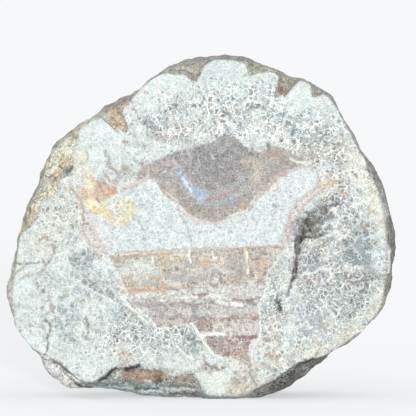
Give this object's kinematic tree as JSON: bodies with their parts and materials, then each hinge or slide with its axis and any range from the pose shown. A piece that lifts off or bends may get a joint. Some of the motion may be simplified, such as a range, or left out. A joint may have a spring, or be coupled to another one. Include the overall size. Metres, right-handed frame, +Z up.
{
  "type": "petrified wood slice",
  "caption": "Thick slice of petrified wood with a polished banded face, sawn back and weathered rind, standing on its flat lower edge.",
  "frame": {"origin": "under the middle of the slice's box, on the plane of the flat edge that it stands on", "axes": "+Z up, +X to the right as seen from the polished face, and the polished face towards -Y"},
  "size_m": [0.1756, 0.04, 0.1542],
  "materials": {
    "petrified_wood": "polished face, sawn back and rough weathered rind"
  },
  "bodies": {
    "root": {"petrified_wood_slice": "petrified_wood"}
  },
  "joints": []
}
